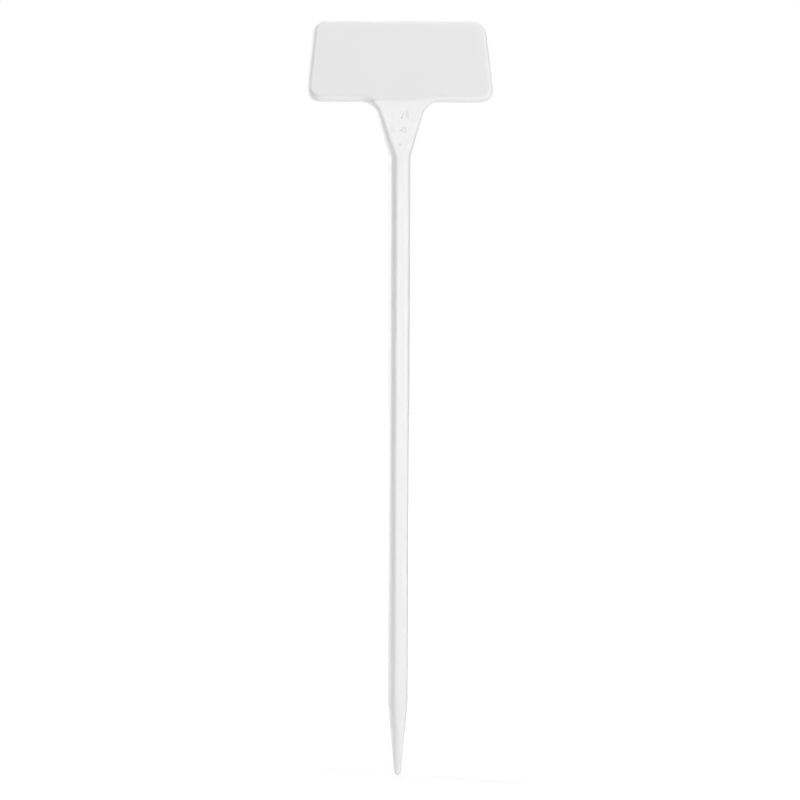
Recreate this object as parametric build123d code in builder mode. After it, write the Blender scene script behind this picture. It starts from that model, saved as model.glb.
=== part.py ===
from build123d import *
from math import atan2, cos, radians, sin, sqrt, tan
import os

# Plant label stake, moulded in one piece from white plastic: a writing plate that leans
# back on a flat triangular neck, over a half-round stem, hollow behind, that ends in a
# point. Millimetres. The end of the point is the origin, the stem stands along +Z, and
# the plate faces -Y. The mould opens along Y, so every side wall runs along Y.

# Heights, from the end of the point upwards
point_length = 36.0
stem_length = 271.5
neck_length = 26.5

# Widths across the front. The crest is the narrow flat down the middle of the stem.
point_end_width = 3.0
stem_foot_width = 9.9
stem_top_width = 10.6
neck_top_width = 25.6
plate_bottom_width = 94.0
plate_top_width = 86.5
crest_width = 1.2
point_crest_width = 0.4

# Depths from front to back
point_end_depth = 2.6
stem_depth = 6.0
plate_thickness = 2.8
channel_wall = 2.0

# Writing plate: its face is measured up the slope, from the bend to the top edge. The bend
# lies just above the plate's bottom edge.
plate_face_length = 49.7
plate_lean = 30.0
bend_rise = 0.85
bend_inner_radius = 1.0
corner_radius = 7.0
neck_flare_radius = 8.0

# Rounding of the front edges, and the straight stretch of flank under the flare
rim_radius = 2.6
flare_gap = 0.8

# Channel behind the stem and neck: it ends in a ramp over the solid point
channel_foot_gap = 8.0
channel_ramp_length = 6.0
channel_corner_radius = 0.8

# The end of the point is a ball, and the cone over it opens this many degrees each side
nose_opening = 30.0

# Marks that the mould leaves: the gate's dimple in front, the ejector pins' discs behind
gate_mark_radius = 0.6
gate_mark_depth = 0.25
gate_mark_height = 5.4
ejector_mark_radius = 2.5
ejector_mark_depth = 0.15
ejector_spacing_across = 56.0
ejector_spacing_up = 24.0

# One overrun serves every cut and every blank that is trimmed
overrun = 2.0

# Front and back of the stem, whose middle stands over the point
front = -stem_depth / 2
back = stem_depth / 2
sheet_back = front + plate_thickness

# Heights of the joints between the forms
point_top = point_length
stem_top = point_top + stem_length
plate_foot = stem_top + neck_length

# Flanks of the neck: how much each moves outward for a millimetre of height
neck_slope = (neck_top_width - stem_top_width) / 2 / neck_length
neck_stretch = sqrt(1 + neck_slope**2)

# The flare that joins a flank to the plate is an arc. The moulding is drawn as two forms,
# the bent sheet above and the shaft below, which meet at the seam, just under the flare.
flare_turn = atan2(1, neck_slope)
flare_drop = neck_flare_radius * tan(flare_turn / 2) * sin(flare_turn)
seam = plate_foot - flare_drop - flare_gap
seam_width = stem_top_width + 2 * neck_slope * (seam - stem_top)
seam_flat_width = seam_width - 2 * rim_radius * neck_stretch

# The bend between neck and plate, in side view: a crisp line in front, an arc behind
lean = radians(plate_lean)
bend = plate_foot + bend_rise
back_bend = bend - plate_thickness * tan(lean / 2)
plate_top = bend + plate_face_length * cos(lean)
plate_top_front = front + plate_face_length * sin(lean)
plate_top_back = plate_top_front + plate_thickness / cos(lean)


def across_stem(height, width, flat_width, front_y, back_y, corner_depth=None):
    """Section across the stem: a flat front, two rounded corners, straight sides, a flat back."""
    corner_width = (width - flat_width) / 2
    side_front = front_y + (corner_depth or corner_width)
    with BuildSketch(Plane.XY.offset(height)) as section:
        with BuildLine():
            Line((-flat_width / 2, front_y), (flat_width / 2, front_y))
            EllipticalCenterArc(
                (flat_width / 2, side_front), corner_width, side_front - front_y, -90, arc_size=90
            )
            Polyline(
                (width / 2, side_front),
                (width / 2, back_y),
                (-width / 2, back_y),
                (-width / 2, side_front),
            )
            EllipticalCenterArc(
                (-flat_width / 2, side_front), corner_width, side_front - front_y, 180, arc_size=90
            )
        make_face()
    return section.sketch


# Outline of the plate and upper neck, as the front view shows it.
with BuildSketch(Plane.XZ) as front_outline:
    with BuildLine():
        FilletPolyline(
            (seam_width / 2, seam),
            (neck_top_width / 2, plate_foot),
            (plate_bottom_width / 2, plate_foot),
            (plate_top_width / 2, plate_top),
            (0, plate_top),
            radius=(neck_flare_radius, corner_radius, corner_radius),
        )
        mirror(about=Plane.YZ)
        Line((-seam_width / 2, seam), (seam_width / 2, seam))
    make_face()

# Two blanks have that outline. One is cut to the leaning face and one to the upright face,
# and each has its front edges rounded, all but the lowest, where the shaft will join on.
blank_depth = plate_top_back + overrun
leaning_face = Plane(origin=(0, front, bend), x_dir=(1, 0, 0), z_dir=(0, -cos(lean), sin(lean)))
with BuildPart() as leaning_blank:
    extrude(front_outline.sketch, amount=blank_depth, both=True)
    split(bisect_by=leaning_face, keep=Keep.BOTTOM)
    leaning_front = leaning_blank.faces().filter_by(leaning_face).sort_by(Axis.Y)[0]
    fillet(leaning_front.edges().sort_by(Axis.Z)[1:], radius=rim_radius)

upright_face = Plane.XZ.offset(-front)
with BuildPart() as upright_blank:
    extrude(front_outline.sketch, amount=blank_depth, both=True)
    split(bisect_by=upright_face, keep=Keep.BOTTOM)
    upright_front = upright_blank.faces().filter_by(upright_face).sort_by(Axis.Y)[0]
    fillet(upright_front.edges().sort_by(Axis.Z)[1:], radius=rim_radius)

# What both blanks hold has the two faces, the crisp bend between them, and a rim that runs
# on from one to the other. The sheet is the part of it that lies in front of the back.
with BuildPart() as bent_sheet:
    add(leaning_blank.part)
    add(upright_blank.part, mode=Mode.INTERSECT)
    with BuildSketch(Plane.YZ):
        with BuildLine():
            back_line = FilletPolyline(
                (sheet_back, seam - overrun),
                (sheet_back, back_bend),
                (plate_top_back + overrun * sin(lean), plate_top + overrun * cos(lean)),
                radius=bend_inner_radius,
            )
            Polyline(
                back_line @ 1,
                (front - overrun, (back_line @ 1).Y),
                (front - overrun, seam - overrun),
                back_line @ 0,
            )
        make_face()
    extrude(amount=plate_bottom_width, both=True, mode=Mode.INTERSECT)

# Point, stem and lower neck: straight runs between four sections with the same sides.
# From the stem's top the rounded corners tighten until they are the rim of the plate.
point_end_front = -point_end_depth / 2
with BuildPart() as shaft:
    loft(
        [
            across_stem(0, point_end_width, point_crest_width, point_end_front, -point_end_front),
            across_stem(point_top, stem_foot_width, crest_width, front, back),
            across_stem(stem_top, stem_top_width, crest_width, front, back),
            across_stem(seam, seam_width, seam_flat_width, front, back, rim_radius),
        ],
        ruled=True,
    )
    with BuildSketch(Plane.XZ):
        with BuildLine():
            nose_radius = point_end_width / 2
            nose = CenterArc((0, nose_radius), nose_radius, -90, 90 - nose_opening)
            mouth = Line(nose @ 1, nose @ 1 + point_length * (nose % 1))
            Polyline(
                mouth @ 1,
                (plate_bottom_width, (mouth @ 1).Y),
                (plate_bottom_width, plate_foot),
                (0, plate_foot),
                (0, 0),
            )
        make_face()
    revolve(axis=Axis.Z, mode=Mode.INTERSECT)

# The core that leaves the channel: the shaft's own runs, drawn in by the wall.
channel_front = front + channel_wall
channel_mouth = back + overrun
channel_foot_width = stem_foot_width - 2 * channel_wall
channel_top_width = stem_top_width - 2 * channel_wall
pocket_width = seam_width - 2 * channel_wall * neck_stretch
pocket_flat_width = pocket_width - 2 * channel_corner_radius
with BuildPart() as channel_core:
    loft(
        [
            across_stem(point_top, channel_foot_width, crest_width, channel_front, channel_mouth),
            across_stem(stem_top, channel_top_width, crest_width, channel_front, channel_mouth),
            across_stem(seam, pocket_width, pocket_flat_width, sheet_back, channel_mouth),
        ],
        ruled=True,
    )
    ramp = Plane(
        origin=(0, back, point_top + channel_foot_gap),
        x_dir=(1, 0, 0),
        z_dir=(0, channel_ramp_length, back - channel_front),
    )
    split(bisect_by=ramp, keep=Keep.TOP)

# Side walls of the neck above the seam. They run on up behind the leaning plate until it
# takes them in, and their roots lie inside the sheet, behind the rounding of its rim. They
# are what the pocket leaves of a block, so it has the same rounded corners here as below.
root_depth = (rim_radius + plate_thickness) / 2
root_front = front + root_depth
root_bend = bend - root_depth * tan(lean / 2)
side_wall_top = root_bend + (back - root_front) / tan(lean)
side_wall_spread = 2 * neck_slope * (side_wall_top - seam)
block_top_width = seam_width + side_wall_spread
pocket_top_width = pocket_width + side_wall_spread
pocket_top_flat_width = pocket_flat_width + side_wall_spread
with BuildPart() as side_walls:
    with BuildSketch(Plane.XZ):
        with BuildLine():
            Polyline(
                (-seam_width / 2, seam),
                (seam_width / 2, seam),
                (block_top_width / 2, side_wall_top),
                (-block_top_width / 2, side_wall_top),
                close=True,
            )
        make_face()
    extrude(amount=stem_depth, both=True)
    with BuildSketch(Plane.YZ):
        with BuildLine():
            Polyline(
                (root_front, seam),
                (root_front, root_bend),
                (back, side_wall_top),
                (back, seam),
                close=True,
            )
        make_face()
    extrude(amount=plate_bottom_width, both=True, mode=Mode.INTERSECT)
    loft(
        [
            across_stem(seam, pocket_width, pocket_flat_width, sheet_back, channel_mouth),
            across_stem(
                side_wall_top, pocket_top_width, pocket_top_flat_width, sheet_back, channel_mouth
            ),
        ],
        ruled=True,
        mode=Mode.SUBTRACT,
    )

# The whole moulding, with the marks of its mould.
half_face_length = plate_face_length / 2
plate_back = Plane(
    origin=(
        0,
        front + half_face_length * sin(lean) + plate_thickness * cos(lean),
        bend + half_face_length * cos(lean) - plate_thickness * sin(lean),
    ),
    x_dir=(1, 0, 0),
    z_dir=(0, cos(lean), -sin(lean)),
)
with BuildPart() as label_stake:
    add(bent_sheet.part)
    add(shaft.part)
    add(channel_core.part, mode=Mode.SUBTRACT)
    add(side_walls.part)
    with BuildSketch(Plane.XZ.offset(-front)):
        with Locations((0, stem_top + gate_mark_height)):
            Circle(gate_mark_radius)
    extrude(amount=-gate_mark_depth, mode=Mode.SUBTRACT)
    with BuildSketch(plate_back):
        with GridLocations(ejector_spacing_across, ejector_spacing_up, 2, 2):
            Circle(ejector_mark_radius)
    extrude(amount=-ejector_mark_depth, mode=Mode.SUBTRACT)

os.makedirs("parts", exist_ok=True)
label_stake.part.label = "label_stake"
export_step(label_stake.part, "parts/label_stake.step")
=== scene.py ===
# %% [markdown]
# # A white plant label, ready for its photograph
# The object is one plastic moulding: a writing plate that leans back, a flat neck, and a
# long stem that ends in a point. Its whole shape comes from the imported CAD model, so this
# file adds what CAD can't hold: the plastic's finish, small raised digits, and the studio.
# Lengths are in metres. +Z runs up the stem, and the front faces -Y.

from math import cos, radians, sin

import bpy
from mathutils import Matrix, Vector


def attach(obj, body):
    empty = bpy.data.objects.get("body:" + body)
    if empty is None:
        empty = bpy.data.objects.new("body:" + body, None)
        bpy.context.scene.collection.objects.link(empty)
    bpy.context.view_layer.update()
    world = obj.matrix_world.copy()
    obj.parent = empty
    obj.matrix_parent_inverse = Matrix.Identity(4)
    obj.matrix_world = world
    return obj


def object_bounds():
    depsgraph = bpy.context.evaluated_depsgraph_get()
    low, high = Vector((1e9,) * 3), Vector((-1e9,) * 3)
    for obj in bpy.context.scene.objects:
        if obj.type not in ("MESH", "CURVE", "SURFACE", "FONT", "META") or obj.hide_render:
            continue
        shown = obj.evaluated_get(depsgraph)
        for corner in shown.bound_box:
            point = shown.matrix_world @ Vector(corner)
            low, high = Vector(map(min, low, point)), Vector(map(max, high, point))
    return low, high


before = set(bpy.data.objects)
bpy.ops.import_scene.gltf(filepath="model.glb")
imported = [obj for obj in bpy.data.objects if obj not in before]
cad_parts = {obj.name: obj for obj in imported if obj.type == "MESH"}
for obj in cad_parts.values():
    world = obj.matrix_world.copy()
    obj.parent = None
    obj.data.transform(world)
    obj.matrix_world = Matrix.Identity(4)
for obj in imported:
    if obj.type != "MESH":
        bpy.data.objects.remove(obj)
cad_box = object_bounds()
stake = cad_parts["label_stake"]
mm = 0.001
print("nodes:", sorted(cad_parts))
print("box:", [[round(v, 4) for v in corner] for corner in cad_box])

# %% [markdown]
# ## Three helpers for materials
# Colours are written as hex values, as a colour picker gives them, but Cycles adds up light
# in linear values, so the first function turns one into the other. The second adds a node,
# sets its fields and inputs by name, and links what it is given. The third makes a material
# to fill.

# %% Helpers for colours and nodes
def linear(hex_colour):
    """The linear RGBA of a hex colour such as "#E8E8E6"."""
    channels = [int(hex_colour[i:i + 2], 16) / 255 for i in (1, 3, 5)]
    return [c / 12.92 if c <= 0.04045 else ((c + 0.055) / 1.055) ** 2.4 for c in channels] + [1.0]


def add_node(tree, kind, inputs=None, **fields):
    """Adds a node. An input is given a value, or the socket of another node to link from."""
    node = tree.nodes.new(kind)
    for name, value in fields.items():
        setattr(node, name, value)
    for name, value in (inputs or {}).items():
        if isinstance(value, bpy.types.NodeSocket):
            tree.links.new(value, node.inputs[name])
        else:
            node.inputs[name].default_value = value
    return node


def new_material(name):
    """An empty node material, and its tree."""
    material = bpy.data.materials.new(name)
    material.use_nodes = True
    material.node_tree.nodes.clear()
    return material, material.node_tree


print("white is", linear("#FFFFFF"), "and mid grey is", [round(v, 3) for v in linear("#808080")])

# %% [markdown]
# ## White moulded polypropylene
# Plant labels are injection moulded in polypropylene coloured with titanium white. The
# mould's steel is spark eroded, which leaves a fine even grain and a satin shine, and the
# melt cools a little unevenly, so the white varies by a shade over a few centimetres. In the
# dimple where the melt came in, the colour is painted a shade greyer. This is painted shade
# that stands for the shadow in that small hollow. A plain white would do from afar, and a
# painted picture would need the surface unwrapped. Noise in the object's own coordinates
# needs neither and runs on round every edge. The real grain is about 0.1 mm, too fine for
# the picture, so it is drawn at 0.7 mm.

# %% Make the plastic
grain_size = 0.7 * mm
flow_size = 35 * mm
ripple_size = 18 * mm
neck_front = cad_box[0][1]
gate_mark = (0, neck_front, 312.9 * mm)
# Painted shade: the inner and outer radii of a grey spot round the gate's dimple, which stands for
# the shadow in that hollow.
painted_shade_inner, painted_shade_outer = 0.5 * mm, 0.8 * mm

plastic, tree = new_material("white_moulded_polypropylene")
place = add_node(tree, "ShaderNodeTexCoord").outputs["Object"]
grain = add_node(tree, "ShaderNodeTexNoise", {
    "Vector": place, "Scale": 1 / grain_size, "Detail": 2.0})
flow = add_node(tree, "ShaderNodeTexNoise", {
    "Vector": place, "Scale": 1 / flow_size, "Detail": 2.0})
ripple = add_node(tree, "ShaderNodeTexNoise", {
    "Vector": place, "Scale": 1 / ripple_size, "Detail": 1.0})
white = add_node(tree, "ShaderNodeMix", {"Factor": flow.outputs["Fac"]}, data_type="RGBA")
white.inputs["A"].default_value = linear("#EDEDED")
white.inputs["B"].default_value = linear("#E8E8E8")
# Painted shade: near the gate mark the white is mixed with a grey (#D4D4D4), which stands for the
# dimple's shadow.
to_gate = add_node(tree, "ShaderNodeVectorMath", {0: place, 1: gate_mark}, operation="DISTANCE")
painted_dimple_shade = add_node(tree, "ShaderNodeMapRange", {
    "Value": to_gate.outputs["Value"], "From Min": painted_shade_inner, "From Max": painted_shade_outer,
    "To Min": 1.0, "To Max": 0.0})
shade = add_node(tree, "ShaderNodeMix", {"Factor": painted_dimple_shade.outputs["Result"]}, data_type="RGBA")
tree.links.new(white.outputs["Result"], shade.inputs["A"])
shade.inputs["B"].default_value = linear("#D4D4D4")
shine = add_node(tree, "ShaderNodeMapRange", {
    "Value": grain.outputs["Fac"], "From Min": 0.3, "From Max": 0.7,
    "To Min": 0.36, "To Max": 0.46})
ripple_bump = add_node(tree, "ShaderNodeBump", {
    "Height": ripple.outputs["Fac"], "Distance": 0.1 * mm, "Strength": 0.5})
grain_bump = add_node(tree, "ShaderNodeBump", {
    "Height": grain.outputs["Fac"], "Distance": 0.01 * mm, "Strength": 0.3,
    "Normal": ripple_bump.outputs["Normal"]})
surface = add_node(tree, "ShaderNodeBsdfPrincipled", {
    "Base Color": shade.outputs["Result"], "Roughness": shine.outputs["Result"],
    "IOR": 1.49, "Normal": grain_bump.outputs["Normal"]})
add_node(tree, "ShaderNodeOutputMaterial", {"Surface": surface.outputs["BSDF"]})

stake.data.materials.clear()
stake.data.materials.append(plastic)
print("plastic on", stake.name, "with", len(tree.nodes), "nodes")

# %% [markdown]
# ## Raised digits on the neck
# The real neck carries two rows of tiny raised lettering, cut into the mould. Plain digits
# of the same size take their place. They could be cut with a knife from the neck's own
# mesh, but text is the way to get well-drawn digits: its strokes get rounded edges, as a
# cutter leaves them, it is made a mesh, and only then turned upright and set into the
# neck's face, so that its place is in its mesh.

# %% Add the digits
relief = 0.17 * mm
stroke_edge = 0.045


def digits(name, words, width, height, across, up):
    """One row of raised digits of that size, with its middle at that place on the neck."""
    bpy.ops.object.select_all(action="DESELECT")
    bpy.ops.object.text_add(location=(0, 0, 0))
    row = bpy.context.object
    row.name = name
    row.data.body = words
    row.data.resolution_u = 4
    row.data.extrude = stroke_edge / 4
    row.data.bevel_depth = stroke_edge
    row.data.bevel_resolution = 1
    row.data.offset = -stroke_edge / 2
    bpy.ops.object.convert(target="MESH")
    wide, tall, deep = row.dimensions
    row.scale = (width / wide, height / tall, 2 * relief / deep)
    bpy.ops.object.transform_apply(location=False, rotation=False, scale=True)
    bpy.ops.object.origin_set(type="ORIGIN_GEOMETRY", center="BOUNDS")
    row.rotation_euler = (radians(90), 0, 0)
    row.location = (across, neck_front, up)
    bpy.ops.object.transform_apply(location=True, rotation=True, scale=True)
    bpy.ops.object.mode_set(mode="EDIT")
    bpy.ops.mesh.select_all(action="SELECT")
    bpy.ops.mesh.remove_doubles(threshold=0.001 * mm)
    bpy.ops.mesh.normals_make_consistent(inside=False)
    bpy.ops.object.mode_set(mode="OBJECT")
    row.data.materials.append(plastic)
    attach(row, "root")
    print(name, [round(v / mm, 2) for v in row.dimensions], "mm,", len(row.data.polygons), "faces")


digits("digits_upper", "1  24", width=8.2 * mm, height=4.3 * mm, across=0.8 * mm, up=328 * mm)
digits("digits_lower", "36  48", width=8.2 * mm, height=3.5 * mm, across=-0.4 * mm, up=320.5 * mm)

# %% [markdown]
# ## Camera
# The photograph is taken from the front, a touch from the left, and from so far away that
# the stem hardly narrows. One pixel is 0.496 mm at the stem. A flat, orthographic camera
# would come close, but a real one stands somewhere, so this one has a distance, and its lens
# follows from it. The object leans a little in the picture, which is a small roll.

# %% Place the camera
pixel = 0.496 * mm
image_width = 800 * pixel
camera_distance = 1.25
camera_height = 0.1862
camera_aim_across = 0.5 * mm
camera_turn = radians(0.9)
camera_roll = radians(-0.21)

bpy.ops.object.select_all(action="DESELECT")
bpy.ops.object.camera_add(
    location=(
        camera_aim_across - camera_distance * sin(camera_turn),
        neck_front - camera_distance * cos(camera_turn),
        camera_height),
    rotation=(radians(90), camera_roll, -camera_turn))
camera = bpy.context.object
camera.name = "camera"
camera.data.lens = camera.data.sensor_width * camera_distance / image_width
bpy.context.scene.camera = camera
print("lens", round(camera.data.lens, 1), "mm")

# %% [markdown]
# ## Light
# The light side of the stem is its right, its left front is in half shade, and a thin
# bright line runs down its left edge. So one soft lamp stands in front, two on the right at
# different heights, a tall one behind on the left, and two hang above and light the paper
# too. One bright sky would be simpler, but it lights all sides alike and leaves white on
# white without form. The shares began as the best sum of pictures rendered with one lamp
# each, and were then set a little by comparing the whole picture.

# %% Add the lamps
lamp_distance = 1.9


def softbox(name, azimuth, elevation, watts, width=0.5, height=0.5, aim_height=0.2):
    """A soft lamp. Azimuth 0 is in front, and it grows towards the right."""
    aim = Vector((0, 0, aim_height))
    turn, rise = radians(azimuth), radians(elevation)
    away = Vector((sin(turn) * cos(rise), -cos(turn) * cos(rise), sin(rise)))
    at = aim + lamp_distance * away
    bpy.ops.object.light_add(type="AREA", location=at)
    lamp = bpy.context.object
    lamp.name = name
    lamp.rotation_euler = (aim - at).to_track_quat("-Z", "Y").to_euler()
    lamp.data.shape = "RECTANGLE"
    lamp.data.size = width
    lamp.data.size_y = height
    lamp.data.energy = watts
    lamp.visible_camera = False
    print(name, "at", [round(v, 2) for v in at], watts, "W")


softbox("lamp_front", azimuth=1, elevation=2, watts=17.1)
softbox("lamp_right", azimuth=67, elevation=0, watts=10.4)
softbox("lamp_right_high", azimuth=75, elevation=45, watts=6.5, width=0.6, height=0.6)
softbox("lamp_above", azimuth=0, elevation=88, watts=10.0, width=0.8, height=0.8)
softbox("lamp_above_behind", azimuth=180, elevation=72, watts=5.5, width=0.6, height=0.6)
softbox("lamp_left_behind", azimuth=-116, elevation=0, watts=26, height=1.4, aim_height=0.75)

# %% [markdown]
# ## Black cards
# White on white needs dark lines to show where the object turns. Photographers hang black
# cards just outside the picture, and a glossy edge mirrors them: one behind on the right
# draws the dark right edge, and one on the left in front deepens the half shade. Less light
# would darken the edges too, but with them the flats. Only gloss sees these cards, so that
# they throw no shade on the paper.

# %% Hang the black cards
card_distance = 0.5
black, tree = new_material("black_card_paper")
matt = add_node(tree, "ShaderNodeBsdfDiffuse", {"Color": linear("#141414")})
add_node(tree, "ShaderNodeOutputMaterial", {"Surface": matt.outputs["BSDF"]})


def black_card(name, azimuth, width):
    """An upright square card that stands on the floor at that azimuth."""
    turn = radians(azimuth)
    bpy.ops.object.select_all(action="DESELECT")
    bpy.ops.mesh.primitive_plane_add(
        size=width,
        location=(card_distance * sin(turn), -card_distance * cos(turn), width / 2),
        rotation=(radians(90), 0, turn - radians(180)))
    card = bpy.context.object
    card.name = name
    bpy.ops.object.transform_apply(location=True, rotation=True, scale=True)
    card.data.materials.append(black)
    card.visible_camera = card.visible_diffuse = False
    card.visible_shadow = card.visible_transmission = False
    print(name, "has a corner at", [round(v, 2) for v in card.data.vertices[0].co])


black_card("card_right_behind", azimuth=145, width=0.7)
black_card("card_left_front", azimuth=-52, width=0.8)

# %% [markdown]
# ## White surroundings
# The photograph's background is pure white. With a white sky as a lamp the object would
# wash out, so the air round the set is white to whatever sees it directly, and gives hardly
# any light. The Light Path node tells the two apart.

# %% Make the surroundings
fill = 0.01
world = bpy.data.worlds.new("studio")
bpy.context.scene.world = world
world.use_nodes = True
world.node_tree.nodes.clear()


def seen_directly(tree):
    """1 for what the camera sees, also in gloss or through clear things, and 0 for light."""
    ray = add_node(tree, "ShaderNodeLightPath")
    seen = add_node(tree, "ShaderNodeMath", {
        0: ray.outputs["Is Camera Ray"], 1: ray.outputs["Is Glossy Ray"]}, operation="ADD")
    return add_node(tree, "ShaderNodeMath", {
        0: seen.outputs["Value"], 1: ray.outputs["Is Transmission Ray"]},
        operation="ADD", use_clamp=True).outputs["Value"]


level = add_node(world.node_tree, "ShaderNodeMapRange", {
    "Value": seen_directly(world.node_tree), "To Min": fill, "To Max": 1.0})
air = add_node(world.node_tree, "ShaderNodeBackground", {
    "Color": linear("#FFFFFF"), "Strength": level.outputs["Result"]})
add_node(world.node_tree, "ShaderNodeOutputWorld", {"Surface": air.outputs["Background"]})
print("white to the camera, a strength of", fill, "as light")

# %% [markdown]
# ## Floor
# White paper. A curved sweep of it would do as in a real studio, but a flat sheet with no
# edge in sight suits every view. What the camera sees of it near the label is part paper,
# with the label's faint shadow, and part plain white, and farther off it is all plain white,
# so that it runs into the background. As a source of light it is paper alone.

# %% Lay the floor
floor_size = 60
near, far = 0.05, 1.2
near_whiteness = 0.4
glow_strength = 1.54

bpy.ops.object.select_all(action="DESELECT")
bpy.ops.mesh.primitive_plane_add(size=floor_size, location=(0, 0, 0))
floor = bpy.context.object
floor.name = "floor"
paper, tree = new_material("white_paper_floor")
spot = add_node(tree, "ShaderNodeTexCoord").outputs["Object"]
reach = add_node(tree, "ShaderNodeVectorMath", {0: spot}, operation="LENGTH")
whiteness = add_node(tree, "ShaderNodeMapRange", {
    "Value": reach.outputs["Value"], "From Min": near, "From Max": far,
    "To Min": near_whiteness, "To Max": 1.0})
share = add_node(tree, "ShaderNodeMath", {
    0: whiteness.outputs["Result"], 1: seen_directly(tree)}, operation="MULTIPLY")
matt = add_node(tree, "ShaderNodeBsdfDiffuse", {"Color": linear("#F4F4F4")})
glow = add_node(tree, "ShaderNodeEmission", {
    "Color": linear("#FFFFFF"), "Strength": glow_strength})
both = add_node(tree, "ShaderNodeMixShader", {"Fac": share.outputs["Value"]})
tree.links.new(matt.outputs["BSDF"], both.inputs[1])
tree.links.new(glow.outputs["Emission"], both.inputs[2])
add_node(tree, "ShaderNodeOutputMaterial", {"Surface": both.outputs["Shader"]})
floor.data.materials.append(paper)
print("floor at height", round(floor.data.vertices[0].co.z, 4), "with", len(tree.nodes), "nodes")

# %% [markdown]
# ## Finish
# The Standard view shows each tone as it was measured. A filmic one would grey the white
# background.

# %% Set the view
bpy.context.scene.view_settings.view_transform = "Standard"
